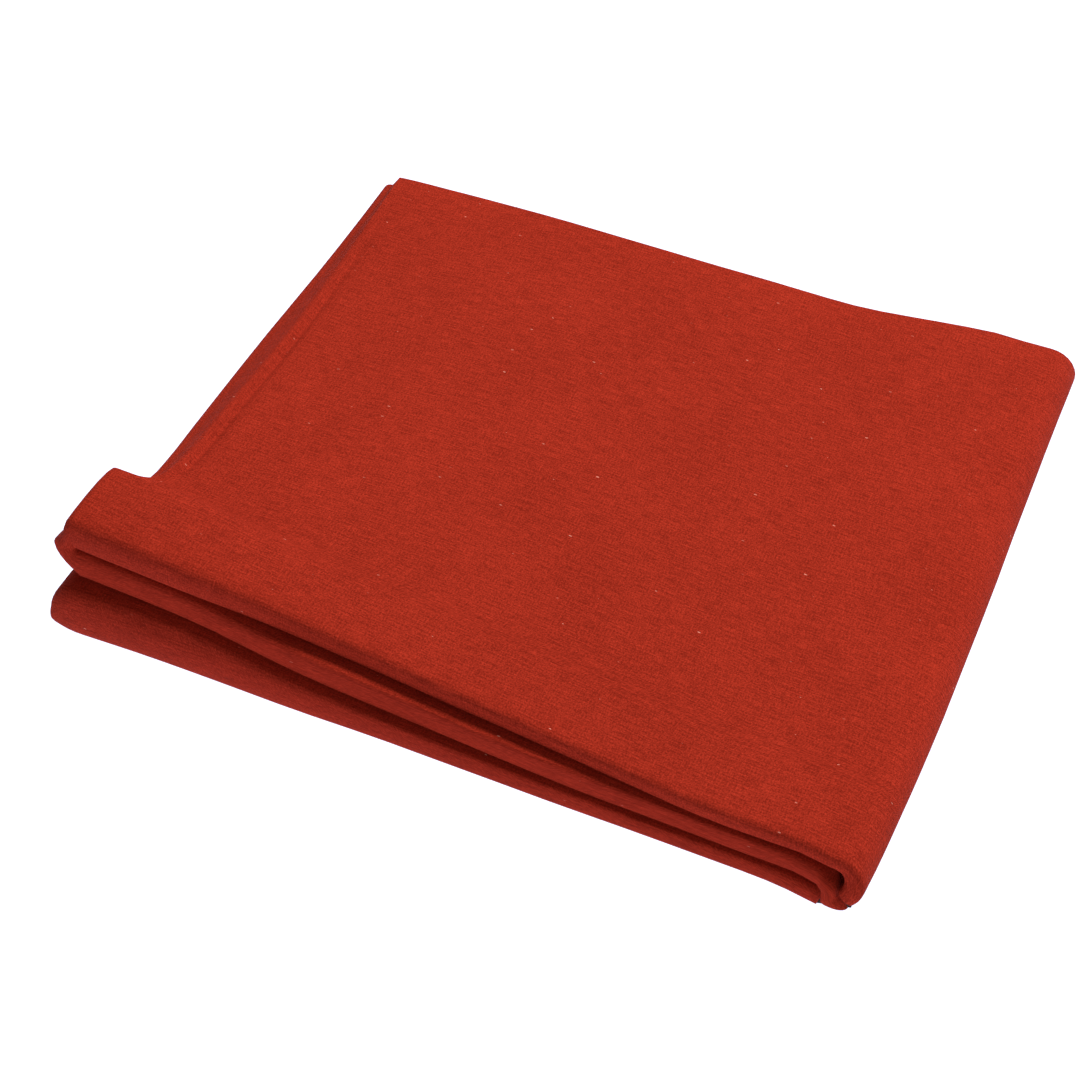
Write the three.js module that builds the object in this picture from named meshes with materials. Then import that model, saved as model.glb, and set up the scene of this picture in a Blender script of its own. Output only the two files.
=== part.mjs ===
import * as THREE from 'three';

// A cotton turban length folded into a flat packet, in millimetres, +Z up.
// The long side lies along X, the rounded front folds face -Y and the wrap faces +X.
// The cloth is a pad of plies doubled into a U with its bend at the front, then folded in three:
// bottom fold, round the right edge, top fold, round the left edge, middle fold tucked inside.

const WALL = 2.9; // one side of the U, twelve plies
const SLIT = 0.5; // least gap between neighbouring folds
const WRAP_AXIS = 145; // nominal X of the turn at the right
const LEFT_AXIS = -143; // nominal X of the turn at the left
const WRAP_LEAN = 2.5; // how far the foot of the wrap stands forward of its top
const END_ROUND = 14; // length of the puffy left end of the bottom fold
const END_HEIGHT = 6; // height at which that end closes
const END_PULL = 2; // how far its front is drawn back
const BLUNT = 0.5; // how square the front bends are, 1 for a round one
const BLUNT_LEFT = 0.3; // the same on the inner side of the left turn
const BLUNT_TUCK = 0.22; // the same on the left side of the tucked end
const TUCK_GAP = 0.3; // gap between the tucked end and the axis of the wrap

// How far forward each fold reaches and where the back edge lies, along X.
const PLAN = [
  { x: -160, bottom: -144.2, middle: -136, top: -135, back: 121.5 },
  { x: -110, bottom: -142.9, middle: -136, top: -135.5, back: 126.5 },
  { x: -60, bottom: -141.8, middle: -137, top: -131.5, back: 129.6 },
  { x: -25, bottom: -141, middle: -137, top: -131, back: 130.8 },
  { x: 45, bottom: -141, middle: -138.7, top: -134, back: 132 },
  { x: 70, bottom: -141, middle: -139, top: -136, back: 132.6 },
  { x: 100, bottom: -141, middle: -139.5, top: -137.8, back: 137.2 },
  { x: 122, bottom: -141.3, middle: -140, top: -138.5, back: 140.5 },
  { x: 133, bottom: -142.2, middle: -140.6, top: -138.7, back: 140.6 },
  { x: 141.8, bottom: -143.7, middle: -142.4, top: -139.6, back: 140.8 },
  { x: 142.4, bottom: -143.7, middle: -142.7, top: -139.8, back: 140.9 },
  { x: 143.2, bottom: -135, middle: -143.4, top: -140, back: 141 },
  { x: 150, bottom: -135, middle: -143.6, top: -141.5, back: 141.5 },
];

// Height taken up by each fold just behind its front bend (F) and at its back edge (B), along X.
const LOFT = [
  { x: -160, bottomF: 28, bottomB: 12, middleF: 15, middleB: 11, topF: 14, topB: 12 },
  { x: -100, bottomF: 23.5, bottomB: 11, middleF: 13, middleB: 10, topF: 13, topB: 11.5 },
  { x: -60, bottomF: 16, bottomB: 10, middleF: 13, middleB: 9.5, topF: 11.5, topB: 11 },
  { x: -25, bottomF: 12, bottomB: 9, middleF: 12, middleB: 9, topF: 10.5, topB: 10.5 },
  { x: 45, bottomF: 8.4, bottomB: 8, middleF: 10, middleB: 8.5, topF: 9.5, topB: 9.5 },
  { x: 100, bottomF: 7.8, bottomB: 7.5, middleF: 9.3, middleB: 8.5, topF: 8.2, topB: 9 },
  { x: 150, bottomF: 8, bottomB: 7.4, middleF: 9.2, middleB: 8.2, topF: 7.8, topB: 7.6 },
];

// Outermost X of the right wrap; axis of the left turn; how far that turn stands out from the axis in
// its upper and its lower half, and the bottom fold's end below it; width of the ledge, along Y.
const EDGES = [
  { y: -145, right: 155.2, axis: -147, upper: 6, lower: 10.2, end: 12.4, ledge: 4 },
  { y: -125, right: 156.3, axis: -148, upper: 6, lower: 10.2, end: 12.6, ledge: 4 },
  { y: -108, right: 156.9, axis: -148, upper: 6, lower: 8.5, end: 9, ledge: 4 },
  { y: -101, right: 157.1, axis: -147, upper: 5.5, lower: 7.5, end: 8, ledge: 4 },
  { y: -95, right: 157.3, axis: -140.4, upper: 5, lower: 6.5, end: 7, ledge: 4 },
  { y: -82, right: 157.5, axis: -139.4, upper: 5, lower: 5.5, end: 6, ledge: 5 },
  { y: -45, right: 157.6, axis: -142.5, upper: 5, lower: 5, end: 5, ledge: 6 },
  { y: 10, right: 157, axis: -146.4, upper: 5, lower: 5, end: 5, ledge: 7.2 },
  { y: 60, right: 155.8, axis: -148.2, upper: 5, lower: 5, end: 5, ledge: 5.8 },
  { y: 145, right: 154.3, axis: -151, upper: 5, lower: 5, end: 5, ledge: 2.4 },
];

// Extra height of the soft roll along the front left of the top face.
const ROLL = [
  { x: -160, height: 5 },
  { x: -125, height: 6.2 },
  { x: -100, height: 4.2 },
  { x: -80, height: 1.8 },
  { x: -60, height: 0.3 },
  { x: -40, height: 0 },
  { x: 160, height: 0 },
];
const ROLL_CREST = -104;
const ROLL_FRONT_WIDTH = 24;
const ROLL_BACK_WIDTH = 3.6;

// Drop to the lower layer that shows as a ledge along the left edge, in shares of the ledge's width.
const LEDGE = [
  { x: 0, drop: 4 },
  { x: 0.9, drop: 3.2 },
  { x: 1, drop: 0 },
];
const LEDGE_ROWS = 7; // width the rows of the mesh give to the ledge before they are fitted to it

// Ridge and valley of the top face beside the ledge, by distance from it.
const RIDGE = [
  { x: 0, lift: 0.4 },
  { x: 3, lift: 1.1 },
  { x: 10, lift: -1 },
  { x: 24, lift: 0 },
];

// Right end of the middle fold, turned down at the front inside the wrap.
const TUCK = {
  from: 141.55,
  height: 8.2,
  mean: 3.4,
  stretch: 6.9,
  thin: 0.62,
  flare: 0.8,
  behind: -134,
  front: -138,
};

const clamp01 = (t) => Math.min(1, Math.max(0, t));
const mix = (a, b, t) => a + (b - a) * t;

function ease(from, to, t) {
  const k = clamp01((t - from) / (to - from));
  return k * k * (3 - 2 * k);
}

// Smooth curve through one column of a table.
function curve(table, key, column, at) {
  const last = table.length - 1;
  const t = Math.min(table[last][key], Math.max(table[0][key], at));
  let i = 0;
  while (i < last - 1 && t > table[i + 1][key]) i += 1;
  const slope = (j) => {
    const a = table[Math.max(0, j - 1)];
    const b = table[Math.min(last, j + 1)];
    return (b[column] - a[column]) / (b[key] - a[key]);
  };
  const p = table[i];
  const q = table[i + 1];
  const span = q[key] - p[key];
  const k = (t - p[key]) / span;
  const k2 = k * k;
  const k3 = k2 * k;
  const start = (2 * k3 - 3 * k2 + 1) * p[column] + (k3 - 2 * k2 + k) * span * slope(i);
  const end = (3 * k2 - 2 * k3) * q[column] + (k3 - k2) * span * slope(i + 1);
  return start + end;
}

// Straight lines through one column of a table.
function steps(table, key, column, at) {
  const last = table.length - 1;
  const t = Math.min(table[last][key], Math.max(table[0][key], at));
  let i = 0;
  while (i < last - 1 && t > table[i + 1][key]) i += 1;
  const p = table[i];
  const q = table[i + 1];
  return mix(p[column], q[column], (t - p[key]) / (q[key] - p[key]));
}

const plan = (column, x) => curve(PLAN, 'x', column, x);
const edge = (side, y) => curve(EDGES, 'y', side, y);

function loft(fold, x, y) {
  const front = plan(fold, x) + 6;
  const t = clamp01((y - front) / (plan('back', x) - front));
  const fade = 1 - (1 - t) ** 2;
  return mix(curve(LOFT, 'x', `${fold}F`, x), curve(LOFT, 'x', `${fold}B`, x), fade);
}

function roll(x, y) {
  const width = y < ROLL_CREST ? ROLL_FRONT_WIDTH : ROLL_BACK_WIDTH;
  return Math.max(0, curve(ROLL, 'x', 'height', x)) * Math.exp(-(((y - ROLL_CREST) / width) ** 2));
}

const leftAxis = (y) => edge('axis', y);
const wrapAxis = (y) => edge('right', y) - (157 - WRAP_AXIS);

// Lower and upper outside faces of a fold.
function faces(fold, x, y) {
  const bottomTop = loft('bottom', x, y);
  if (fold === 'bottom') return [0, bottomTop];
  const middleTop = bottomTop + loft('middle', x, y);
  if (fold === 'middle') return [bottomTop + SLIT, middleTop];
  const inward = x - leftAxis(y);
  const ledge = edge('ledge', y);
  const drop = steps(LEDGE, 'x', 'drop', inward / ledge) * ease(-100, -92, y);
  const fade = ease(-100, -80, y) * (1 - ease(30, 110, y));
  const ridge = steps(RIDGE, 'x', 'lift', inward - ledge) * fade;
  return [middleTop + SLIT, middleTop + loft('top', x, y) + roll(x, y) + ridge - drop];
}

// Section of a fold: from the back along one side, round the front bend, back along the other side.
const SIDE_ROWS = [0, 0.45, 0.65, 0.77, 0.835, 0.862, 0.878, 0.888, 0.898, 0.91, 0.94, 0.985, 1];
const BEND_STEPS = 10;

function sectionList() {
  const list = SIDE_ROWS.map((g) => ({ g, angle: -Math.PI / 2 }));
  for (let i = 1; i < BEND_STEPS; i += 1) {
    list.push({ g: 1, angle: -Math.PI / 2 + (Math.PI * i) / BEND_STEPS });
  }
  [...SIDE_ROWS].reverse().forEach((g) => list.push({ g, angle: Math.PI / 2 }));
  return list;
}

// Left end of the bottom fold: 0 away from it, 1 at its closed edge.
const endTurn = (x, x0) => clamp01((x0 + END_ROUND - x) / END_ROUND);

// The end of the middle fold bent down about a line along Y, more at the front than behind.
function tuckedDown(point) {
  const past = (point.x - TUCK.from) * TUCK.stretch;
  const amount = ease(TUCK.behind, TUCK.front, point.y);
  if (past <= -3 || amount === 0) return point;
  const angle = Math.min(Math.PI / 2, Math.max(0, past / TUCK.mean));
  const straight = Math.max(0, past) - angle * TUCK.mean;
  const flare = 1 + TUCK.flare * ease(7.4, 10.4, past) * ease(TUCK.front, TUCK.front - 2, point.y);
  const radius = (point.z - TUCK.height) * mix(1, TUCK.thin, ease(-3, 3, past)) * flare;
  const x = TUCK.from + radius * Math.sin(angle) + straight * Math.cos(angle);
  const z = TUCK.height + radius * Math.cos(angle) - straight * Math.sin(angle);
  return new THREE.Vector3(mix(point.x, x, amount), point.y, mix(point.z, z, amount));
}

// One point of a fold. side +1 runs the bend from the lower face up, -1 from the upper face down.
function foldPoint(fold, t, sec, side, depth) {
  const nominal = {
    bottom: mix(LEFT_AXIS - 12, WRAP_AXIS, t),
    top: mix(WRAP_AXIS, LEFT_AXIS, t),
    middle: mix(LEFT_AXIS, WRAP_AXIS - TUCK_GAP, t),
  }[fold];
  const [lowAtBend, highAtBend] = faces(fold, nominal, plan(fold, nominal) + 6);
  const reach = ((highAtBend - lowAtBend) / 2) * 0.95 + 0.8;
  const bendStart = plan(fold, nominal) + reach;
  const sideY = mix(plan('back', nominal), bendStart, sec.g);
  const left = leftAxis(sideY) - (fold === 'bottom' ? edge('end', sideY) : 0);
  const right = wrapAxis(sideY) - (fold === 'middle' ? TUCK_GAP : 0);
  let x = fold === 'top' ? mix(right, left, t) : mix(left, right, t);
  if (fold === 'top') {
    const inward = x - left;
    const fit = edge('ledge', sideY) / LEDGE_ROWS;
    x = left + inward * mix(fit, 1, ease(LEDGE_ROWS, LEDGE_ROWS + 24, inward));
  }
  let [low, high] = faces(fold, x, sideY);
  let pull = 0;
  if (fold === 'bottom') {
    const round = Math.sqrt(1 - endTurn(x, left) ** 2);
    const half = mix(WALL + SLIT / 2, high / 2, round);
    const centre = mix(END_HEIGHT * Math.min(1, high / 26), high / 2, round);
    low = Math.max(0, centre - half);
    high = low + half * 2;
    pull = (1 - round) * END_PULL * sec.g;
  }
  const middle = (low + high) / 2;
  const half = (high - low) / 2;
  const angle = sec.angle * side;
  const innerSide = (fold === 'top' && angle < 0) || (fold === 'middle' && angle > 0);
  let blunt = innerSide ? mix(BLUNT_LEFT, BLUNT, ease(LEFT_AXIS, LEFT_AXIS + 40, x)) : BLUNT;
  if (fold === 'middle' && angle < 0) {
    blunt = mix(blunt, BLUNT_TUCK, ease(TUCK.from - 2, TUCK.from + 0.5, x));
  }
  const y = sideY + pull - (reach - depth) * Math.cos(angle) ** blunt;
  const point = new THREE.Vector3(x, y, middle + (half - depth) * Math.sin(angle));
  return fold === 'middle' ? tuckedDown(point) : point;
}

// Turn from one fold to the next about a line along Y.
function turnPoint(turn, k, sec, depth) {
  const angle = Math.PI * k;
  const right = turn === 'right';
  const a = right ? foldPoint('bottom', 1, sec, 1, depth) : foldPoint('top', 1, sec, -1, depth);
  const b = right ? foldPoint('top', 0, sec, -1, depth) : foldPoint('middle', 0, sec, 1, depth);
  const forward = right ? ease(0.16, 0.28, k) : ease(0, 1, k);
  const lean = right ? WRAP_LEAN * forward * (1 - ease(0.3, 0.8, k)) * sec.g ** 8 : 0;
  const y = mix(a.y, b.y, forward) - lean;
  const under = right ? faces('bottom', a.x, a.y)[1] : faces('middle', b.x, b.y)[1];
  const over = right ? faces('top', b.x, b.y)[0] : faces('top', a.x, a.y)[0];
  const centre = (under + over) / 2;
  const radius = mix(Math.abs(a.z - centre), Math.abs(b.z - centre), ease(0, 1, k));
  if (right) {
    const x = wrapAxis(y) + radius * Math.sin(angle);
    return new THREE.Vector3(x, y, centre - radius * Math.cos(angle));
  }
  const outerA = faces('top', a.x, a.y)[1] - centre;
  const outerB = centre - faces('middle', b.x, b.y)[0];
  const reach = mix(edge('upper', y), edge('lower', y), ease(0.38, 0.5, k));
  const scale = reach / mix(outerA, outerB, ease(0, 1, k));
  const bulge = Math.sin(angle) ** (k < 0.5 ? 1 : 2);
  const x = leftAxis(y) - radius * scale * bulge;
  return new THREE.Vector3(x, y, centre + radius * Math.cos(angle));
}

// Stations along the strip of cloth, from the left end of the bottom fold to the tucked end.
const END_STEPS = 5;
const LEFT_STEPS = 10;
const ACROSS = [0.08, 0.12, 0.17, 0.23, 0.3, 0.38, 0.47, 0.57, 0.67, 0.77, 0.87, 0.94];
const EDGE_ROWS = [30, 22, 16, 12, 9, 6.95, 6.2, 2.5];
const CORNER_ROWS = [0.955, 0.975, 0.99133, 0.994];
const WRAP_ROWS = [0, 0.08, 0.16, 0.22, 0.28, 0.38, 0.5, 0.66, 0.83, 1];
const TUCK_ROWS = [0.97, 0.985, 0.9948, 0.9958, 0.9968, 0.9978, 0.9989, 1];

function stations() {
  const list = [];
  const width = WRAP_AXIS - LEFT_AXIS;
  for (let i = END_STEPS; i >= 0; i -= 1) {
    const t = ((1 - Math.sin((Math.PI * i) / (2 * END_STEPS))) * END_ROUND) / (width + 12);
    list.push((sec, d) => foldPoint('bottom', t, sec, 1, d));
  }
  [...ACROSS, ...CORNER_ROWS].forEach((t) => {
    list.push((sec, d) => foldPoint('bottom', t, sec, 1, d));
  });
  WRAP_ROWS.forEach((k) => list.push((sec, d) => turnPoint('right', k, sec, d)));
  [...ACROSS].reverse().filter((t) => t * width > 36).forEach((t) => {
    list.push((sec, d) => foldPoint('top', 1 - t, sec, -1, d));
  });
  EDGE_ROWS.forEach((r) => list.push((sec, d) => foldPoint('top', 1 - r / width, sec, -1, d)));
  for (let i = 0; i <= LEFT_STEPS; i += 1) {
    list.push((sec, d) => turnPoint('left', i / LEFT_STEPS, sec, d));
  }
  [0.03, ...ACROSS, ...TUCK_ROWS].forEach((t) => {
    list.push((sec, d) => foldPoint('middle', t, sec, 1, d));
  });
  return list;
}

// Closed skin: outside and inside of the wall, joined by rounded rims round the border.
function clothGeometry() {
  const rows = stations();
  const columns = sectionList();
  const points = [];
  const index = [];
  const grid = (depth) => rows.map((at) => columns.map((sec) => points.push(at(sec, depth)) - 1));
  const outside = grid(0);
  const inside = grid(WALL);
  const quad = (a, b, c, d) => index.push(a, b, c, a, c, d);
  for (let i = 0; i < rows.length - 1; i += 1) {
    for (let j = 0; j < columns.length - 1; j += 1) {
      quad(outside[i][j], outside[i + 1][j], outside[i + 1][j + 1], outside[i][j + 1]);
      quad(inside[i][j], inside[i][j + 1], inside[i + 1][j + 1], inside[i + 1][j]);
    }
  }
  const border = [];
  const lastRow = rows.length - 1;
  const lastColumn = columns.length - 1;
  for (let j = 0; j < lastColumn; j += 1) border.push([0, j]);
  for (let i = 0; i < lastRow; i += 1) border.push([i, lastColumn]);
  for (let j = lastColumn; j > 0; j -= 1) border.push([lastRow, j]);
  for (let i = lastRow; i > 0; i -= 1) border.push([i, 0]);
  border.forEach(([i, j], n) => {
    const [k, l] = border[(n + 1) % border.length];
    quad(outside[i][j], outside[k][l], inside[k][l], inside[i][j]);
  });
  const box = new THREE.Box3().setFromPoints(points);
  const middle = box.getCenter(new THREE.Vector3());
  const flat = points.flatMap((p) => [p.x - middle.x, p.y - middle.y, p.z - box.min.z]);
  const geometry = new THREE.BufferGeometry();
  geometry.setAttribute('position', new THREE.Float32BufferAttribute(flat, 3));
  geometry.setIndex(index);
  geometry.computeVertexNormals();
  return geometry;
}

const cotton = new THREE.MeshStandardMaterial({ color: '#a63020', roughness: 0.95, metalness: 0 });
const cloth = new THREE.Mesh(clothGeometry(), cotton);
cloth.name = 'turban_cloth';

const turban = new THREE.Group();
turban.name = 'turban';
turban.add(cloth);

export default turban;
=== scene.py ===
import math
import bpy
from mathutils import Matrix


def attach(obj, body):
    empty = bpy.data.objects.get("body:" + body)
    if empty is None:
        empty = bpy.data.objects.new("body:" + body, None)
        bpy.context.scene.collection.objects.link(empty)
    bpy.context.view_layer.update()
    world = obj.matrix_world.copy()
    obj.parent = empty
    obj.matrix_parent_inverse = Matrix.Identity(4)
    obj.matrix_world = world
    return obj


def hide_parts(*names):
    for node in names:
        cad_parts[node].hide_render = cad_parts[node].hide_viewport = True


bl_info = {
    "name": "Folded turban length",
    "version": (1, 0, 0),
    "blender": (4, 5, 0),
    "location": "3D View > Sidebar > Turban",
    "description": "A cotton turban length folded into a flat packet, ply by ply",
    "category": "Object",
}

import bpy
import numpy as np
from bpy.props import FloatProperty, FloatVectorProperty, PointerProperty
from mathutils import Vector

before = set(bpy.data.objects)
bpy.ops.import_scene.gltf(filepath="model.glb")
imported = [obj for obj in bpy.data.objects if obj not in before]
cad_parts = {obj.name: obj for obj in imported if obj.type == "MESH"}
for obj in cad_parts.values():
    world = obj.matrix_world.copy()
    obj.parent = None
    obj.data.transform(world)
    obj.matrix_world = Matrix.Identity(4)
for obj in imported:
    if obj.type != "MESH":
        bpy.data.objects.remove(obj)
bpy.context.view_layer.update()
MM = 0.001


# The folded shape, in millimetres
def table(header, *rows):
    """Columns of a table by name."""
    return dict(zip(header.split(), np.array(rows, float).T))


# How far forward each fold reaches and where the back edge lies, along X.
PLAN = table(
    "x bottom middle top back",
    (-160, -144.2, -136, -135, 121.5),
    (-110, -142.9, -136, -135.5, 126.5),
    (-60, -141.8, -137, -131.5, 129.6),
    (-25, -141, -137, -131, 130.8),
    (45, -141, -138.7, -134, 132),
    (70, -141, -139, -136, 132.6),
    (100, -141, -139.5, -137.8, 137.2),
    (122, -141.3, -140, -138.5, 140.5),
    (133, -142.2, -140.6, -138.7, 140.6),
    (141.8, -143.7, -142.4, -139.6, 140.8),
    (142.4, -143.7, -142.7, -139.8, 140.9),
    (143.2, -135, -143.4, -140, 141),
    (150, -135, -143.6, -141.5, 141.5),
)

# Height taken up by each fold just behind its front bend and at its back edge, along X.
LOFT = table(
    "x bottomFront bottomBack middleFront middleBack topFront topBack",
    (-160, 28, 12, 15, 11, 14, 12),
    (-100, 24.2, 11, 13, 10, 12.3, 11.5),
    (-60, 17.2, 10, 13, 9.5, 10.3, 11),
    (-25, 13.4, 9, 12, 9, 9.1, 10.5),
    (45, 9.7, 8, 10.2, 8.5, 8, 9.5),
    (100, 8.4, 7.5, 9.3, 8.5, 7.6, 9),
    (150, 8, 7.4, 9.2, 8.2, 7.8, 7.6),
)

# Outermost X of the right wrap, axis of the left turn, how far that turn stands out from the axis in its
# upper and its lower half and the bottom fold's end below it, and how wide the lower layer shows, along Y.
EDGES = table(
    "y right axis upper lower end ledge",
    (-145, 155.2, -147, 6, 10.2, 12.4, 4),
    (-125, 156.3, -148, 6, 10.2, 12.6, 4),
    (-108, 156.9, -148, 6, 8.5, 9, 4),
    (-101, 157.1, -147, 5.5, 7.5, 8, 4),
    (-95, 157.3, -140.4, 5, 6.5, 7, 4),
    (-82, 157.5, -139.4, 5, 5.5, 6, 5),
    (-45, 157.6, -142.5, 5, 5, 5, 6),
    (10, 157, -146.4, 5, 5, 5, 7.2),
    (60, 155.8, -148.2, 5, 5, 5, 5.8),
    (145, 154.3, -151, 5, 5, 5, 2.4),
)

# Extra height of the soft roll along the front left of the top face, along X, and its crest and widths in Y.
ROLL = table(
    "x height",
    (-160, 5), (-125, 6.2), (-100, 4.2), (-80, 1.8), (-60, 0.3), (-40, 0), (160, 0),
)
ROLL_CREST = -104
ROLL_FRONT_WIDTH = 24
ROLL_BACK_WIDTH = 3.6

# Drop to the lower layer along the left edge, in shares of its width, and the ridge and valley beside it.
# They set in and fade out over these stretches of Y.
LEDGE = table("x drop", (0, 4.6), (0.9, 0.5), (1, 0))
RIDGE = table("x lift", (0, 0.1), (2, 1.0), (4.8, -1.4), (7.3, 0.3), (14, 0.4), (24, 0))
LEDGE_SETS_IN = (-100, -92)
RIDGE_SETS_IN = (-100, -80)
RIDGE_FADES = (30, 110)

# Rows this near to the left edge are drawn to the width of the lower layer, and those beyond less and less.
LEDGE_ROWS = 7
LEDGE_BLEND = 24

# The wall of plies, the slits between folds, and the axes of the right wrap and the left turn.
WALL = 2.9
SLIT = 0.5
WRAP_AXIS = 145
WRAP_OUTSIDE = 157
LEFT_AXIS = -143

# The front bends: how far behind the front a fold's front height counts, and how far a bend reaches
# forward by half its height.
BEND_DEPTH = 6
BEND_SHARE = 0.95
BEND_EXTRA = 0.8

# The free left end of the bottom fold.
END_REACH = 12
END_ROUND = 14
END_HEIGHT = 6
END_FULL_HEIGHT = 26
END_PULL = 4

# The turned-down end of the middle fold: where its bend starts, at what height and radius, how far its rows
# are drawn out and thinned, the Y over which it is bent, and how its tip flares.
TUCK_GAP = 0.3
TUCK = dict(start=141.55, height=8.2, mean=3.4, stretch=6.4, thin=0.62, soft=3, behind=-134, front=-138)
FLARE = 0.8
FLARE_PAST = (7.4, 10.4)
FLARE_DEPTH = 2

# How blunt the bends are, from 0 for square to 1 for round: outside, in the creases between folds, there at
# the left, and at the turned-down end. Then the stretches of X over which they change.
BLUNT = 0.5
BLUNT_CREASE = 0.18
BLUNT_LEFT = 0.32
BLUNT_TUCK = 0.22
CREASE_SETS_IN = (-90, -10)
CREASE_FADES = (110, 138)
CREASE_UNDER_MIDDLE = (LEFT_AXIS, LEFT_AXIS + 40)
TUCK_SETS_IN = (TUCK["start"] - 2, TUCK["start"] + 0.5)

# The right wrap comes forward and stands upright over these shares of its turn, and leans most at the front.
WRAP_LEAN = 2.5
WRAP_FORWARD = (0.16, 0.28)
WRAP_UPRIGHT = (0.3, 0.8)
LEAN_POWER = 8

# Share of the left turn over which its upper half passes into its lower half.
LEFT_CHANGE = (0.38, 0.5)


def mix(a, b, t):
    return a + (b - a) * t


def ease(start, end, t):
    k = np.clip((t - start) / (end - start), 0, 1)
    return k * k * (3 - 2 * k)


def curve(columns, key, name, at):
    """Smooth curve through one column of a table."""
    xs, ys = columns[key], columns[name]
    slope = np.gradient(ys, xs)
    slope[1:-1] = (ys[2:] - ys[:-2]) / (xs[2:] - xs[:-2])
    t = np.clip(at, xs[0], xs[-1])
    i = np.searchsorted(xs[1:-1], t, side="left")
    span = xs[i + 1] - xs[i]
    k = (t - xs[i]) / span
    start = (2 * k**3 - 3 * k**2 + 1) * ys[i] + (k**3 - 2 * k**2 + k) * span * slope[i]
    end = (3 * k**2 - 2 * k**3) * ys[i + 1] + (k**3 - k**2) * span * slope[i + 1]
    return start + end


def plan(name, x):
    return curve(PLAN, "x", name, x)


def edge(name, y):
    return curve(EDGES, "y", name, y)


def loft(fold, x, y):
    """Height of one fold at a point of the plan."""
    front = plan(fold, x) + BEND_DEPTH
    t = np.clip((y - front) / (plan("back", x) - front), 0, 1)
    at_front = curve(LOFT, "x", fold + "Front", x)
    at_back = curve(LOFT, "x", fold + "Back", x)
    return mix(at_front, at_back, 1 - (1 - t) ** 2)


def roll(x, y):
    """Extra height of the roll at a point of the plan."""
    width = np.where(y < ROLL_CREST, ROLL_FRONT_WIDTH, ROLL_BACK_WIDTH)
    return np.maximum(0, curve(ROLL, "x", "height", x)) * np.exp(-(((y - ROLL_CREST) / width) ** 2))


def left_axis(y):
    return edge("axis", y)


def wrap_axis(y):
    return edge("right", y) - (WRAP_OUTSIDE - WRAP_AXIS)


def faces(fold, x, y):
    """Lower and upper outside faces of a fold."""
    bottom_top = loft("bottom", x, y)
    if fold == "bottom":
        return np.zeros_like(bottom_top), bottom_top
    middle_top = bottom_top + loft("middle", x, y)
    if fold == "middle":
        return bottom_top + SLIT, middle_top
    inward = x - left_axis(y)
    ledge = edge("ledge", y)
    drop = np.interp(inward / ledge, LEDGE["x"], LEDGE["drop"]) * ease(*LEDGE_SETS_IN, y)
    ridge = np.interp(inward - ledge, RIDGE["x"], RIDGE["lift"])
    ridge = ridge * ease(*RIDGE_SETS_IN, y) * (1 - ease(*RIDGE_FADES, y))
    return middle_top + SLIT, middle_top + loft("top", x, y) + roll(x, y) + ridge - drop


def tucked_down(x, y, z):
    """The end of the middle fold bent down about a line along Y, more at the front than behind."""
    past = (x - TUCK["start"]) * TUCK["stretch"]
    amount = np.where(past > -TUCK["soft"], ease(TUCK["behind"], TUCK["front"], y), 0)
    angle = np.clip(past / TUCK["mean"], 0, math.pi / 2)
    straight = np.maximum(past, 0) - angle * TUCK["mean"]
    radius = (z - TUCK["height"]) * mix(1, TUCK["thin"], ease(-TUCK["soft"], TUCK["soft"], past))
    flare = FLARE * ease(*FLARE_PAST, past) * ease(TUCK["front"], TUCK["front"] - FLARE_DEPTH, y)
    radius = radius * (1 + flare)
    bent_x = TUCK["start"] + radius * np.sin(angle) + straight * np.cos(angle)
    bent_z = TUCK["height"] + radius * np.cos(angle) - straight * np.sin(angle)
    return mix(x, bent_x, amount), y, mix(z, bent_z, amount)


def free_end(high, left, x):
    """Faces of the bottom fold, which closes towards its free left end, and how far it is open."""
    opened = np.sqrt(1 - np.clip((left + END_ROUND - x) / END_ROUND, 0, 1) ** 2)
    half = mix(WALL + SLIT / 2, high / 2, opened)
    centre = mix(END_HEIGHT * np.minimum(1, high / END_FULL_HEIGHT), high / 2, opened)
    low = np.maximum(0, centre - half)
    return low, low + half * 2, opened


def bluntness(fold, x, angle):
    """How blunt a front bend is on its outer half and on a half that lies in a crease."""
    crease = mix(BLUNT_LEFT, BLUNT_CREASE, ease(*CREASE_SETS_IN, x))
    crease = mix(crease, BLUNT, ease(*CREASE_FADES, x))
    if fold == "top":
        return np.where(angle < 0, crease, BLUNT)
    upper = np.where(angle > 0, crease, BLUNT)
    if fold == "bottom":
        return upper
    under = mix(BLUNT, crease, ease(*CREASE_UNDER_MIDDLE, x))
    under = mix(under, BLUNT_TUCK, ease(*TUCK_SETS_IN, x))
    return np.where(angle < 0, under, upper)


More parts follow.
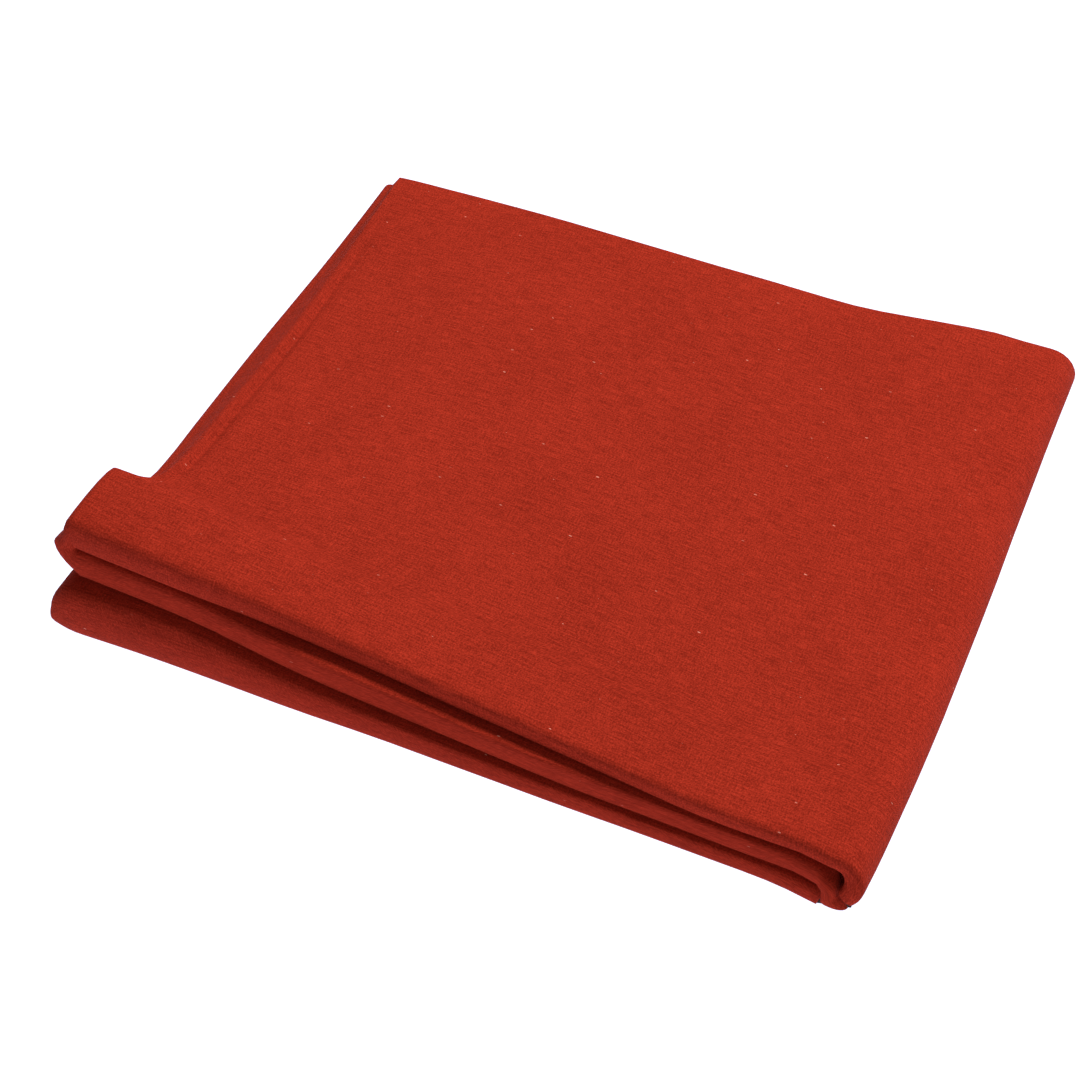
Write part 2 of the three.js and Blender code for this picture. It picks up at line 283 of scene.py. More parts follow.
def fold_points(fold, t, section, side, plies):
    """Points of every ply of a fold at one station, as rows round the section and columns by ply."""
    nominal = {
        "bottom": mix(LEFT_AXIS - END_REACH, WRAP_AXIS, t),
        "top": mix(WRAP_AXIS, LEFT_AXIS, t),
        "middle": mix(LEFT_AXIS, WRAP_AXIS - TUCK_GAP, t),
    }[fold]
    at_bend = faces(fold, np.array(nominal), plan(fold, nominal) + BEND_DEPTH)
    reach = (at_bend[1] - at_bend[0]) / 2 * BEND_SHARE + BEND_EXTRA
    g = section["g"][:, None]
    back = plan("back", nominal)
    back = back + np.where(section["angle"][:, None] < 0, plies["fold_edge"], plies["selvedge"])
    side_y = mix(back, plan(fold, nominal) + reach, g)
    left = left_axis(side_y) - (edge("end", side_y) if fold == "bottom" else 0)
    right = wrap_axis(side_y) - (TUCK_GAP if fold == "middle" else 0)
    x = mix(right, left, t) if fold == "top" else mix(left, right, t)
    if fold == "top":
        inward = x - left
        drawn = edge("ledge", side_y) / LEDGE_ROWS
        x = left + inward * mix(drawn, 1, ease(LEDGE_ROWS, LEDGE_ROWS + LEDGE_BLEND, inward))
    low, high = faces(fold, x, side_y)
    pull = 0
    if fold == "bottom":
        low, high, opened = free_end(high, left, x)
        pull = (1 - opened) * END_PULL * g
    half = (high - low) / 2
    depth = plies["share"] * mix(WALL, np.maximum(WALL, half - SLIT), plies["loose"])
    angle = section["angle"][:, None] * side
    y = side_y + pull - (reach - depth) * np.maximum(0, np.cos(angle)) ** bluntness(fold, x, angle)
    z = (low + high) / 2 + (half - depth) * np.sin(angle)
    if fold == "middle":
        x, y, z = tucked_down(x, y, z)
    return np.stack(np.broadcast_arrays(x, y, z), axis=-1)


def turn_points(turn, k, section, plies):
    """Points of every ply where one fold turns over into the next."""
    right = turn == "right"
    a = fold_points("bottom", 1, section, 1, plies) if right else fold_points("top", 1, section, -1, plies)
    b = fold_points("top", 0, section, -1, plies) if right else fold_points("middle", 0, section, 1, plies)
    forward = ease(*WRAP_FORWARD, k) if right else ease(0, 1, k)
    y = mix(a[..., 1], b[..., 1], forward)
    if right:
        lean = WRAP_LEAN * forward * (1 - ease(*WRAP_UPRIGHT, k))
        y = y - lean * section["g"][:, None] ** LEAN_POWER
    lower = faces("bottom", a[..., 0], a[..., 1]) if right else faces("middle", b[..., 0], b[..., 1])
    upper_from = b if right else a
    upper = faces("top", upper_from[..., 0], upper_from[..., 1])
    centre = (lower[1] + upper[0]) / 2
    swing = ease(0, 1, k)
    radius = mix(np.abs(a[..., 2] - centre), np.abs(b[..., 2] - centre), swing)
    angle = math.pi * k
    if right:
        x = wrap_axis(y) + radius * math.sin(angle)
        z = centre - radius * math.cos(angle)
    else:
        reach = mix(edge("upper", y), edge("lower", y), ease(*LEFT_CHANGE, k))
        bulge = math.sin(angle) ** (1 if k < 0.5 else 2)
        x = left_axis(y) - radius * reach / mix(upper[1] - centre, centre - lower[0], swing) * bulge
        z = centre + radius * math.cos(angle)
    return np.stack(np.broadcast_arrays(x, y, z), axis=-1)


def section_rows(side_rows, bend_steps):
    """Stations round the U of a fold: along one side, round the front bend, back along the other side."""
    up = np.asarray(side_rows, float)
    bend = -math.pi / 2 + math.pi * np.arange(1, bend_steps) / bend_steps
    g = np.concatenate([up, np.ones(bend_steps - 1), up[::-1]])
    angle = np.concatenate([np.full(len(up), -math.pi / 2), bend, np.full(len(up), math.pi / 2)])
    return {"g": g, "angle": angle}


# The cloth: its layers of two plies each, and the middle of the solid's plan as drawn in the tables above.
LAYERS = 6
CENTRE = (-1.464, -1.292)

# Rows from the back edge to the front bend, and stations along the folds and turns, in shares of their
# length. They lie closer where the cloth bends.
SIDE_ROWS = (
    0, 0.04, 0.1, 0.18, 0.27, 0.36, 0.45, 0.54, 0.63, 0.71, 0.77, 0.81, 0.838, 0.857, 0.869, 0.878, 0.886,
    0.894, 0.903, 0.915, 0.935, 0.965, 1,
)
ACROSS = (
    0.06, 0.09, 0.12, 0.155, 0.19, 0.23, 0.27, 0.315, 0.36, 0.41, 0.46, 0.51, 0.56, 0.61,
    0.66, 0.71, 0.76, 0.81, 0.86, 0.9, 0.93,
)
TOP_ACROSS = (
    0.04, 0.08, 0.12, 0.16, 0.2, 0.24, 0.28, 0.32, 0.36, 0.4, 0.44, 0.48, 0.52, 0.56, 0.6,
    0.64, 0.68, 0.72, 0.755, 0.79, 0.82, 0.85, 0.88,
)
CORNER_ROWS = (0.955, 0.975, 0.99133, 0.994)
TUCK_ROWS = (0.955, 0.97, 0.98, 0.988, 0.9945, 0.9953, 0.9961, 0.9969, 0.9977, 0.9986, 1)
WRAP_ROWS = (
    0, 0.08, 0.16, 0.19, 0.22, 0.25, 0.28, 0.31, 0.35, 0.41, 0.48, 0.55, 0.62, 0.7, 0.78, 0.86, 0.93, 1,
)
MIDDLE_START = 0.03
BEND_STEPS = 12
END_STEPS = 6
TURN_STEPS = 14

# Stations along the left edge of the top fold, by their distance from it in millimetres.
EDGE_ROWS = (34, 28, 22, 18, 15.4, 14, 12.8, 11.7, 10.6, 9.5, 8.5, 7.6, 6.98, 6.7, 6.3, 3.4, 1.4)

# Row of the section along which the length of the cloth is measured.
LENGTH_ROW = 8

# Soft waves of the cloth, by their lengths along and across it. They set in towards the front bend and along
# the right wrap, and fade along the left turn.
WAVES = ((150, 190), (95, 120), (63, 170), (47, 60))
WAVE_FRONT = (0.93, 1)
WAVE_WRAP = (0.2, 0.6)
WAVE_LEFT = (0.3, 0.7)
WAVE_SEED = 3

# Shallow dent of the bottom fold: its angle round the front bend, in degrees, and its depth, along X.
DENT = table("x angle depth", (-134, 54, 0), (-124, 52, 0.9), (-95, 52, 1), (-88, 38, 0.7), (-82, 30, 0))
DENT_WIDTH = 11

# How far a crease at the back stands out from its plies, and a turn at the end of a layer from the layers.
# Then how uneven the creases are, as a share of the selvedges.
CREASE_OUT = 0.12
TURN_OUT = 0.2
CREASE_UNEVENNESS = 0.6
EDGE_SEED = 7

# Where the middle of the cloth lies on the weave, in metres.
WEAVE_ALONG = 0.5
WEAVE_ACROSS = 0.3

# Shares of the texture: its margin, the strips of the hidden plies, how full each strip is, and where the
# outside ply starts.
BAKE_MARGIN = 0.01
BAKE_HIDDEN = 0.225
BAKE_STRIP_FILL = 0.86
BAKE_OUTSIDE = 0.245


def ply_table(sizes):
    """Where each ply lies through the wall, and how far its two long edges are from the mean back edge."""
    count = LAYERS * 2
    random = np.random.default_rng(EDGE_SEED)
    creases = np.repeat(random.uniform(-1, 1, LAYERS), 2)
    selvedges = random.uniform(-1, 1, count)
    uneven = sizes.edge_unevenness / MM
    return {
        "share": (np.arange(count) / (count - 1))[None, :],
        "loose": sizes.looseness,
        "fold_edge": (creases * uneven * CREASE_UNEVENNESS)[None, :],
        "selvedge": (selvedges * uneven)[None, :],
    }


def strip_points(sizes):
    """Every ply of the folded strip: stations along it, rows round the section, plies, then X, Y, Z."""
    plies = ply_table(sizes)
    section = section_rows(SIDE_ROWS, BEND_STEPS)
    width = WRAP_AXIS - LEFT_AXIS
    quarter = [math.pi * i / (2 * END_STEPS) for i in range(END_STEPS, -1, -1)]
    ends = [(1 - math.sin(angle)) * END_ROUND / (width + END_REACH) for angle in quarter]
    turn = [i / TURN_STEPS for i in range(TURN_STEPS + 1)]
    bottom = [fold_points("bottom", t, section, 1, plies) for t in (*ends, *ACROSS, *CORNER_ROWS)]
    wrap = [turn_points("right", k, section, plies) for k in WRAP_ROWS]
    top = [fold_points("top", t, section, -1, plies) for t in TOP_ACROSS]
    top += [fold_points("top", 1 - r / width, section, -1, plies) for r in EDGE_ROWS]
    left = [turn_points("left", k, section, plies) for k in turn]
    middle = [fold_points("middle", t, section, 1, plies) for t in (MIDDLE_START, *ACROSS, *TUCK_ROWS)]
    points = np.array(bottom + wrap + top + left + middle)
    shows = np.concatenate([
        np.zeros(len(bottom)), ease(*WAVE_WRAP, np.array(WRAP_ROWS)), np.ones(len(top)),
        1 - ease(*WAVE_LEFT, np.array(turn)), np.zeros(len(middle)),
    ])
    return uneven(points, section, shows, len(bottom), sizes.unevenness / MM)


def uneven(points, section, shows, bottom, amount):
    """Soft waves of hand-folded cloth and one shallow dent, alike for all plies of a place."""
    outside = points[:, :, 0]
    out = np.cross(np.gradient(outside, axis=0), np.gradient(outside, axis=1))
    out /= np.maximum(np.linalg.norm(out, axis=-1, keepdims=True), 1e-9)
    facing = np.sign(np.sum(out * (outside - points[:, :, -1]), axis=-1, keepdims=True))
    along = running_length(outside[:, LENGTH_ROW])[:, None] / MM
    across = running_length(outside[len(points) // 2])[None] / MM
    random = np.random.default_rng(WAVE_SEED)
    wave = np.zeros(outside.shape[:2])
    for length, breadth in WAVES:
        phase = random.uniform(0, 2 * math.pi, 2)
        lengthways = np.sin(2 * math.pi * along / length + phase[0])
        wave += lengthways * np.sin(2 * math.pi * across / breadth + phase[1])
    front = ease(*WAVE_FRONT, section["g"])[None]
    face = (section["angle"] == -math.pi / 2)[None] * shows[:, None]
    lift = amount * wave * np.maximum(front, face)
    x = outside[:bottom, :, 0]
    line = np.interp(x, DENT["x"], DENT["angle"])
    depth = np.interp(x, DENT["x"], DENT["depth"])
    beside = (np.degrees(section["angle"])[None] - line) / DENT_WIDTH
    lift[:bottom] -= depth * np.exp(-(beside**2)) * front
    return points + (out * facing * lift[..., None])[:, :, None]


def running_length(points):
    """Length in metres from the first of a row of points to each of them."""
    steps = np.linalg.norm(np.diff(points, axis=0), axis=1)
    return np.concatenate([[0], np.cumsum(steps)]) * MM


def lengths(sheet, axis):
    """Lengths in metres along every line of a grid of points."""
    steps = np.linalg.norm(np.diff(sheet, axis=axis), axis=-1) * MM
    start = np.zeros_like(np.take(steps, [0], axis=axis))
    return np.concatenate([start, np.cumsum(steps, axis=axis)], axis=axis)


def doubled(station, layer, crease_out):
    """The two plies of a layer at one station, as one row round the crease at the back."""
    first, second = (2 * layer, 2 * layer + 1) if layer % 2 == 0 else (2 * layer + 1, 2 * layer)
    a, b = station[:, first], station[:, second]
    crease = (a[0] + b[0]) / 2 + np.array([0, crease_out, 0])
    return np.concatenate([a[::-1], crease[None], b])


def unfolded(points):
    """The one sheet of cloth: its grid of points, and each point's place along and across the flat cloth."""
    stations, rows = points.shape[:2]
    along = running_length(points[:, LENGTH_ROW, 0])
    across = running_length(points[stations // 2, :, 0])
    sheet, station_at, layer_at = [], [], []
    for layer in range(LAYERS):
        order = range(stations) if layer % 2 == 0 else range(stations - 1, -1, -1)
        for s in order:
            sheet.append(doubled(points[s], layer, CREASE_OUT))
            station_at.append(along[s] / along[-1])
            layer_at.append(layer)
        if layer < LAYERS - 1:
            end = sheet[-1]
            beyond = end - sheet[-2]
            beyond = beyond / np.linalg.norm(beyond, axis=1, keepdims=True)
            following = doubled(points[order[-1]], layer + 1, 0)
            sheet.append((end + following) / 2 + beyond * TURN_OUT)
            station_at.append(station_at[-1])
            layer_at.append(layer)
    row_at = np.concatenate([across[::-1], [0], across]) / across[-1]
    sheet = np.array(sheet)
    width_at = lengths(sheet, 1) - lengths(sheet, 1)[:, rows // 2, None] + WEAVE_ACROSS
    length_at = lengths(sheet, 0) - lengths(sheet, 0)[None, stations // 2] + WEAVE_ALONG
    return sheet, length_at, width_at, np.array(station_at), row_at, np.array(layer_at)


def bake_place(layer, second_half, station, row):
    """Place of a point on the texture: the outside ply has most of it, the hidden plies a strip each."""
    ply = np.where(layer % 2 == 0, 2 * layer + second_half, 2 * layer + 1 - second_half)
    strip = BAKE_HIDDEN / (LAYERS * 2 - 1)
    low = np.where(ply == 0, BAKE_OUTSIDE, BAKE_MARGIN + (ply - 1) * strip)
    high = np.where(ply == 0, 1 - BAKE_MARGIN, low + strip * BAKE_STRIP_FILL)
    return BAKE_MARGIN + (1 - 2 * BAKE_MARGIN) * station, low + (high - low) * row


def cloth_mesh(sizes):
    """The folded sheet as a mesh, with its weave and its texture laid out flat."""
    sheet, length_at, width_at, station_at, row_at, layer_at = unfolded(strip_points(sizes))
    sheet = sheet - np.array([CENTRE[0], CENTRE[1], 0])
    rows, columns = sheet.shape[:2]
    index = np.arange(rows * columns).reshape(rows, columns)
    corners = [index[:-1, :-1], index[:-1, 1:], index[1:, 1:], index[1:, :-1]]
    quads = np.stack(corners, axis=-1).reshape(-1, 4)
    mesh = bpy.data.meshes.new("turban_cloth_plies")
    mesh.vertices.add(rows * columns)
    mesh.vertices.foreach_set("co", (sheet.reshape(-1, 3) * MM).ravel())
    mesh.loops.add(quads.size)
    mesh.loops.foreach_set("vertex_index", quads.ravel())
    mesh.polygons.add(len(quads))
    mesh.polygons.foreach_set("loop_start", np.arange(0, quads.size, 4))
    mesh.polygons.foreach_set("use_smooth", np.ones(len(quads), bool))
    mesh.update(calc_edges=True)
    r, c = quads.ravel() // columns, quads.ravel() % columns
    weave = mesh.uv_layers.new(name="Weave")
    weave.uv.foreach_set("vector", np.stack([width_at[r, c], length_at[r, c]], axis=-1).ravel())
    face_row, face_column = quads[:, 0] // columns, quads[:, 0] % columns
    layer = np.repeat(layer_at[face_row], 4)
    second = np.repeat((face_column >= columns // 2).astype(int), 4)
    bake = mesh.uv_layers.new(name="OFBake")
    u, v = bake_place(layer, second, station_at[r], row_at[c])
    bake.uv.foreach_set("vector", np.stack([u, v], axis=-1).ravel())
    mesh.uv_layers.active = weave
    weave.active_render = True
    mesh.validate()
    return mesh


# The cotton finish: how fine the thick and thin threads are across and along the cloth, the grain and the
# clouding, their shares of the tone, and where on it the two thread colours lie.
LONG_SLUB = (1800, 110)
CROSS_SLUB = (160, 1700)
GRAIN = 1500
CLOUD = 22
SLUB_SHARES = (0.62, 0.38)
TONE_SHARES = dict(slub=0.45, grain=0.43, cloud=0.05, threads=0.02)
TONE_ENDS = (0.37, 0.645)
RELIEF_SHARES = dict(threads=0.25, grain=0.35)
RELIEF = 0.35

# Loose flecks: how close they lie, how much longer than wide their cells are, and their size and strength.
LINT_SCALE = 85
LINT_STRETCH = 0.4
LINT_SIZE = 0.022
LINT_STRENGTH = 0.9


def add(tree, kind, place, **inputs):
    """A node with values or links on its named inputs."""
    made = tree.nodes.new(kind)
    made.location = place
    for name, value in inputs.items():
        socket = made.inputs[int(name[1:])] if name[0] == "_" else made.inputs[name.replace("_", " ")]
        if isinstance(value, bpy.types.NodeSocket):
            tree.links.new(value, socket)
        else:
            socket.default_value = value
    return made


def maths(tree, operation, place, a, b=0.0, c=0.0):
    made = add(tree, "ShaderNodeMath", place, _0=a, _1=b, _2=c)
    made.operation = operation
    return made.outputs[0]


def noise(tree, place, vector, scale, detail, roughness):
    made = add(
        tree, "ShaderNodeTexNoise", place, Vector=vector, Scale=scale, Detail=detail, Roughness=roughness
    )
    made.noise_dimensions = "2D"
    return made.outputs["Fac"]


def stretched(tree, place, vector, across, along):
    made = add(tree, "ShaderNodeMapping", place, Vector=vector, Scale=(across, along, 1))
    return made.outputs["Vector"]


def woven_threads(tree, flat, finish):
    """Waves of the plain weave, over and under."""
    parts = add(tree, "ShaderNodeSeparateXYZ", (-1500, 500), Vector=flat)
    pitch = 2 * math.pi / finish.thread_pitch
    weft_phase = maths(tree, "MULTIPLY", (-1300, 600), parts.outputs["X"], pitch)
    warp_phase = maths(tree, "MULTIPLY", (-1300, 450), parts.outputs["Y"], pitch)
    weft = maths(tree, "SINE", (-1100, 600), weft_phase)
    warp = maths(tree, "SINE", (-1100, 450), warp_phase)
    return maths(tree, "MULTIPLY", (-900, 520), weft, warp)


def thick_and_thin(tree, flat):
    """Thick and thin threads both ways of the cloth."""
    long_slub = noise(tree, (-1100, 200), stretched(tree, (-1300, 200), flat, *LONG_SLUB), 1, 2, 0.6)
    cross_slub = noise(tree, (-1100, 0), stretched(tree, (-1300, 0), flat, *CROSS_SLUB), 1, 2, 0.6)
    cross = maths(tree, "MULTIPLY", (-1000, 50), cross_slub, SLUB_SHARES[1])
    return maths(tree, "MULTIPLY_ADD", (-850, 150), long_slub, SLUB_SHARES[0], cross)


def thread_colour(tree, flat, finish, threads, slub, grain):
    """Colour from the darker to the lighter threads."""
    cloud = noise(tree, (-1100, -400), flat, CLOUD, 1, 0.5)
    tone = maths(tree, "MULTIPLY", (-850, -150), grain, TONE_SHARES["grain"])
    tone = maths(tree, "MULTIPLY_ADD", (-650, 50), slub, TONE_SHARES["slub"], tone)
    tone = maths(tree, "MULTIPLY_ADD", (-450, -50), cloud, TONE_SHARES["cloud"], tone)
    tone = maths(tree, "MULTIPLY_ADD", (-300, 0), threads, TONE_SHARES["threads"], tone)
    ramp = add(tree, "ShaderNodeValToRGB", (-150, 0), Fac=tone)
    colours = (finish.dark_thread, finish.light_thread)
    for stop, position, colour in zip(ramp.color_ramp.elements, TONE_ENDS, colours):
        stop.position = position
        stop.color = (*colour, 1)
    return ramp.outputs["Color"]


def loose_flecks(tree, flat, finish):
    """Small flecks of lint, some of them faint."""
    cells = stretched(tree, (-900, -500), flat, 1, LINT_STRETCH)
    lint = add(tree, "ShaderNodeTexVoronoi", (-700, -500), Vector=cells, Scale=LINT_SCALE)
    lint.voronoi_dimensions = "2D"
    chance = add(tree, "ShaderNodeSeparateColor", (-500, -600), Color=lint.outputs["Color"])
    size = maths(tree, "MULTIPLY", (-350, -600), chance.outputs["Green"], LINT_SIZE)
    spot = maths(tree, "LESS_THAN", (-350, -450), lint.outputs["Distance"], size)
    kept = maths(tree, "GREATER_THAN", (-350, -750), chance.outputs["Red"], 1 - finish.lint_share)
    faint = maths(tree, "MULTIPLY", (-350, -900), chance.outputs["Blue"], LINT_STRENGTH)
    strength = maths(tree, "MULTIPLY", (-200, -700), kept, faint)
    return maths(tree, "MULTIPLY", (-200, -500), spot, strength)


def cotton_material(finish):
    """Plain-woven matt cotton with thick and thin threads, a fine grain and a few flecks."""
    material = bpy.data.materials.new("rust_cotton")
    material.use_nodes = True
    tree = material.node_tree
    shader = tree.nodes["Principled BSDF"]
    shader.location = (500, 0)
    tree.nodes["Material Output"].location = (800, 0)
    uv = add(tree, "ShaderNodeUVMap", (-1700, 0))
    uv.uv_map = "Weave"
    flat = uv.outputs["UV"]
    threads = woven_threads(tree, flat, finish)
    slub = thick_and_thin(tree, flat)
    grain = noise(tree, (-1100, -200), flat, GRAIN, 2, 0.6)
    colour = add(tree, "ShaderNodeMix", (100, -100))
    colour.data_type = "RGBA"
    tree.links.new(loose_flecks(tree, flat, finish), colour.inputs["Factor"])
    tree.links.new(thread_colour(tree, flat, finish, threads, slub, grain), colour.inputs[6])
    colour.inputs[7].default_value = (*finish.lint, 1)
    tree.links.new(colour.outputs[2], shader.inputs["Base Color"])
    rough = add(tree, "ShaderNodeMapRange", (100, -350), Value=slub, _1=0.3, _2=0.7, _3=0.82, _4=0.98)
    tree.links.new(rough.outputs["Result"], shader.inputs["Roughness"])
    height = maths(tree, "MULTIPLY_ADD", (-100, 350), threads, RELIEF_SHARES["threads"], slub)
    height = maths(tree, "MULTIPLY_ADD", (50, 350), grain, RELIEF_SHARES["grain"], height)
    bump = add(
        tree, "ShaderNodeBump", (250, 250), Strength=RELIEF, Distance=finish.thread_pitch, Height=height
    )
    tree.links.new(bump.outputs["Normal"], shader.inputs["Normal"])
    shader.inputs["Specular IOR Level"].default_value = 0.04
    shader.inputs["Sheen Weight"].default_value = finish.sheen
    shader.inputs["Sheen Roughness"].default_value = 0.45
    shader.inputs["Sheen Tint"].default_value = (*finish.sheen_tint, 1)
    return material


class TurbanSizes(bpy.types.PropertyGroup):
    cloth_length: FloatProperty(
        name="Cloth length", description="Length of the cloth before folding", default=5.5, unit="LENGTH",
    )
    cloth_width: FloatProperty(
        name="Cloth width", description="Width of the cloth before folding", default=1.1, unit="LENGTH",
    )
    looseness: FloatProperty(
        name="Looseness", description="How far the plies spread into the hollow of each fold",
        default=0.7, min=0, max=1, subtype="FACTOR",
    )
    edge_unevenness: FloatProperty(
        name="Edge unevenness", description="How far the long edges of the plies differ at the back",
        default=0.0018, unit="LENGTH",
    )
    unevenness: FloatProperty(
        name="Unevenness", description="Height of the soft waves of the folded cloth",
        default=0.00008, unit="LENGTH",
    )


class TurbanFinish(bpy.types.PropertyGroup):
    dark_thread: FloatVectorProperty(
        name="Dark thread", description="Colour of the darker threads", size=3, subtype="COLOR",
        default=(0.23, 0.0142, 0.0056), min=0, max=1,
    )
    light_thread: FloatVectorProperty(
        name="Light thread", description="Colour of the lighter threads", size=3, subtype="COLOR",
        default=(0.56, 0.043, 0.0198), min=0, max=1,
    )
    lint: FloatVectorProperty(
        name="Lint", description="Colour of the loose flecks", size=3, subtype="COLOR",
        default=(0.85, 0.32, 0.23), min=0, max=1,
    )
    lint_share: FloatProperty(
        name="Lint share", description="Share of places that carry a fleck", default=0.75,
        min=0, max=1, subtype="FACTOR",
    )
    thread_pitch: FloatProperty(
        name="Thread pitch", description="Distance from thread to thread", default=0.0004, unit="LENGTH",
    )
    sheen: FloatProperty(
        name="Sheen", description="Strength of the soft nap of the cotton", default=0.03,
        min=0, max=1, subtype="FACTOR",
    )
    sheen_tint: FloatVectorProperty(
        name="Sheen tint", description="Colour of the nap", size=3, subtype="COLOR",
        default=(0.9, 0.25, 0.13), min=0, max=1,
    )


class TurbanStage(bpy.types.PropertyGroup):
    floor: FloatVectorProperty(
        name="Floor", description="Colour of the floor", size=3, subtype="COLOR",
        default=(0.2, 0.2, 0.2), min=0, max=1,
    )
    focal_length: FloatProperty(
        name="Focal length", description="Lens on a 36 mm frame, in millimetres", default=73.33,
    )
    pitch: FloatProperty(
        name="Pitch", description="How far the camera looks down", default=math.radians(45.4),
        subtype="ANGLE",
    )
    turn: FloatProperty(
        name="Turn", description="How far the camera stands round to the right",
        default=math.radians(24.1), subtype="ANGLE",
    )
    distance: FloatProperty(
        name="Distance", description="Distance from the camera to its aim", default=0.857, unit="LENGTH",
    )
    aim: FloatVectorProperty(
        name="Aim", description="Point the camera looks at", size=3, subtype="XYZ", unit="LENGTH",
        default=(-0.01194, -0.02231, 0.0),
    )
    key_power: FloatProperty(
        name="Key power", description="Power of the light overhead", default=75.5, unit="POWER",
    )
    fill_power: FloatProperty(
        name="Fill power", description="Power of the light in front", default=10.0, unit="POWER",
    )
    sky: FloatProperty(name="Sky", description="Strength of the even light from above", default=0.08)
    glow: FloatProperty(name="Floor glow", description="Strength of the floor's own light", default=1.1)


class TURBAN_OT_make_cloth(bpy.types.Operator):
    """Makes the folded cloth, ply by ply, and its cotton finish"""

    bl_idname = "turban.make_cloth"
    bl_label = "Make cloth"

    def execute(self, context):
        sizes, finish = context.scene.turban_sizes, context.scene.turban_finish
        cloth = bpy.data.objects.new("folded_cloth", cloth_mesh(sizes))
        context.scene.collection.objects.link(cloth)
        cloth.data.materials.append(cotton_material(finish))
        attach(cloth, "root")
        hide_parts("turban_cloth")
        return {"FINISHED"}


# The stage, in metres. A small patch of floor without glow, hidden under the front right corner, keeps the
# slits there dark: a darker floor put there as painted shade, on top of the shade the cloth casts.
FLOOR_REACH = 4.0
FLOOR_DROP = 0.0004
FLOOR_ROUGHNESS = 0.9
GLOW_COLOUR = (0.95, 0.97, 1.2)
SHADE_PATCH = ((0.1415, -0.1404), (0.1535, -0.1374), (0.1535, -0.125), (0.1415, -0.125))
OVERHEAD_PLACE = (0.55, 1.15, 2.24)
OVERHEAD_WIDTH = 0.6
FRONT_PLACE = (0.6, -2.2, 1.1)
FRONT_WIDTH = 0.8
SENSOR_WIDTH = 36


def floor_paint(name, colour, glow):
    """Matt pale paint with an even glow."""
    made = bpy.data.materials.new(name)
    made.use_nodes = True
    paint = made.node_tree.nodes["Principled BSDF"]
    paint.inputs["Base Color"].default_value = (*colour, 1)
    paint.inputs["Roughness"].default_value = FLOOR_ROUGHNESS
    paint.inputs["Emission Color"].default_value = (*GLOW_COLOUR, 1)
    paint.inputs["Emission Strength"].default_value = glow
    return made


def stage_floor(scene, stage):
    mesh = bpy.data.meshes.new("floor")
    around = ((-1, -1), (1, -1), (1, 1), (-1, 1))
    corners = [(x * FLOOR_REACH, y * FLOOR_REACH, -FLOOR_DROP) for x, y in around]
    corners += [(x, y, -FLOOR_DROP / 2) for x, y in SHADE_PATCH]
    mesh.from_pydata(corners, [], [(0, 1, 2, 3), (4, 5, 6, 7)])
    mesh.materials.append(floor_paint("pale_floor", stage.floor, stage.glow))
    # The patch under the front right corner has no glow: painted shade seen through the slits there.
    mesh.materials.append(floor_paint("floor_painted_shade", stage.floor, 0))
    mesh.polygons[1].material_index = 1
    floor = bpy.data.objects.new("floor", mesh)
    scene.collection.objects.link(floor)


def area_light(scene, name, place, width, power):
    """A round soft light that shines on the middle of the floor."""
    lamp = bpy.data.lights.new(name, "AREA")
    lamp.shape = "DISK"
    lamp.size = width
    lamp.energy = power
    holder = bpy.data.objects.new(name, lamp)
    holder.location = place
    holder.rotation_mode = "QUATERNION"
    holder.rotation_quaternion = (-Vector(place)).to_track_quat("-Z", "Y")
    scene.collection.objects.link(holder)


def even_light(scene, strength):
    world = bpy.data.worlds.new("even_light")
    world.use_nodes = True
    background = world.node_tree.nodes["Background"]
    background.inputs["Color"].default_value = (1, 1, 1, 1)
    background.inputs["Strength"].default_value = strength
    scene.world = world


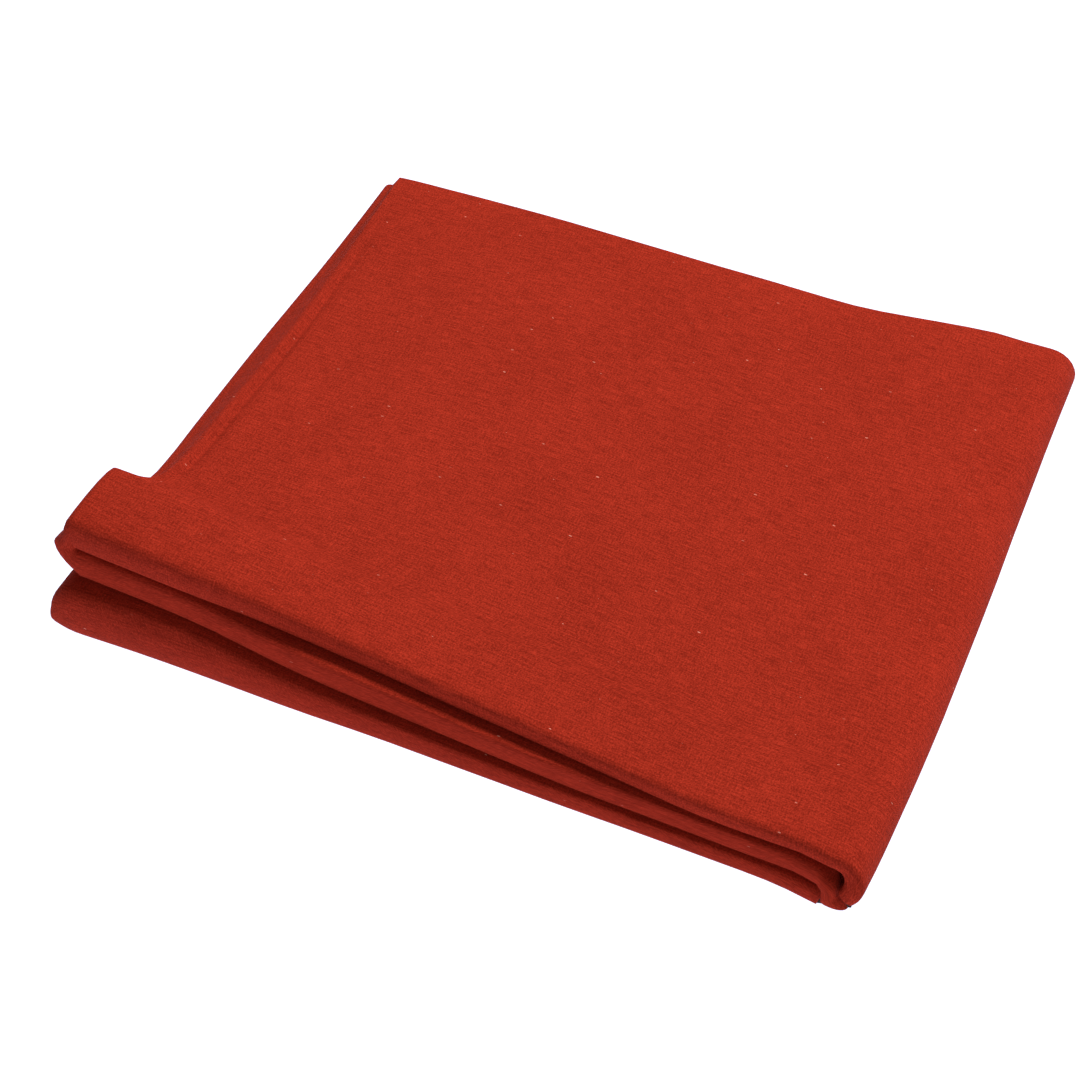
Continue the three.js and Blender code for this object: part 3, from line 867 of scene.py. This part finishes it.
def stage_camera(scene, stage):
    lens = bpy.data.cameras.new("camera")
    lens.sensor_width = SENSOR_WIDTH
    lens.lens = stage.focal_length
    lens.clip_start = 0.01
    camera = bpy.data.objects.new("camera", lens)
    toward = Vector((
        -math.sin(stage.turn) * math.cos(stage.pitch),
        math.cos(stage.turn) * math.cos(stage.pitch),
        -math.sin(stage.pitch),
    ))
    camera.location = Vector(stage.aim) - toward * stage.distance
    camera.rotation_mode = "QUATERNION"
    camera.rotation_quaternion = toward.to_track_quat("-Z", "Y")
    scene.collection.objects.link(camera)
    scene.camera = camera


class TURBAN_OT_make_stage(bpy.types.Operator):
    """Makes the pale floor, the soft lights and the camera"""

    bl_idname = "turban.make_stage"
    bl_label = "Make stage"

    def execute(self, context):
        scene, stage = context.scene, context.scene.turban_stage
        stage_floor(scene, stage)
        area_light(scene, "overhead", OVERHEAD_PLACE, OVERHEAD_WIDTH, stage.key_power)
        area_light(scene, "front", FRONT_PLACE, FRONT_WIDTH, stage.fill_power)
        even_light(scene, stage.sky)
        stage_camera(scene, stage)
        scene.view_settings.view_transform = "Standard"
        return {"FINISHED"}


class TURBAN_PT_sidebar(bpy.types.Panel):
    """Sizes, finish and stage of the folded turban length"""

    bl_idname = "TURBAN_PT_sidebar"
    bl_label = "Folded turban length"
    bl_space_type = "VIEW_3D"
    bl_region_type = "UI"
    bl_category = "Turban"

    def draw(self, context):
        for group in ("turban_sizes", "turban_finish", "turban_stage"):
            box = self.layout.box()
            settings = getattr(context.scene, group)
            for name in settings.__annotations__:
                box.prop(settings, name)
        self.layout.operator(TURBAN_OT_make_cloth.bl_idname)
        self.layout.operator(TURBAN_OT_make_stage.bl_idname)


CLASSES = (
    TurbanSizes,
    TurbanFinish,
    TurbanStage,
    TURBAN_OT_make_cloth,
    TURBAN_OT_make_stage,
    TURBAN_PT_sidebar,
)


def register():
    for kind in CLASSES:
        bpy.utils.register_class(kind)
    bpy.types.Scene.turban_sizes = PointerProperty(type=TurbanSizes)
    bpy.types.Scene.turban_finish = PointerProperty(type=TurbanFinish)
    bpy.types.Scene.turban_stage = PointerProperty(type=TurbanStage)


def unregister():
    del bpy.types.Scene.turban_stage
    del bpy.types.Scene.turban_finish
    del bpy.types.Scene.turban_sizes
    for kind in reversed(CLASSES):
        bpy.utils.unregister_class(kind)


def main():
    register()
    bpy.ops.turban.make_cloth()
    bpy.ops.turban.make_stage()
    bpy.context.view_layer.update()


if __name__ == "__main__":
    main()
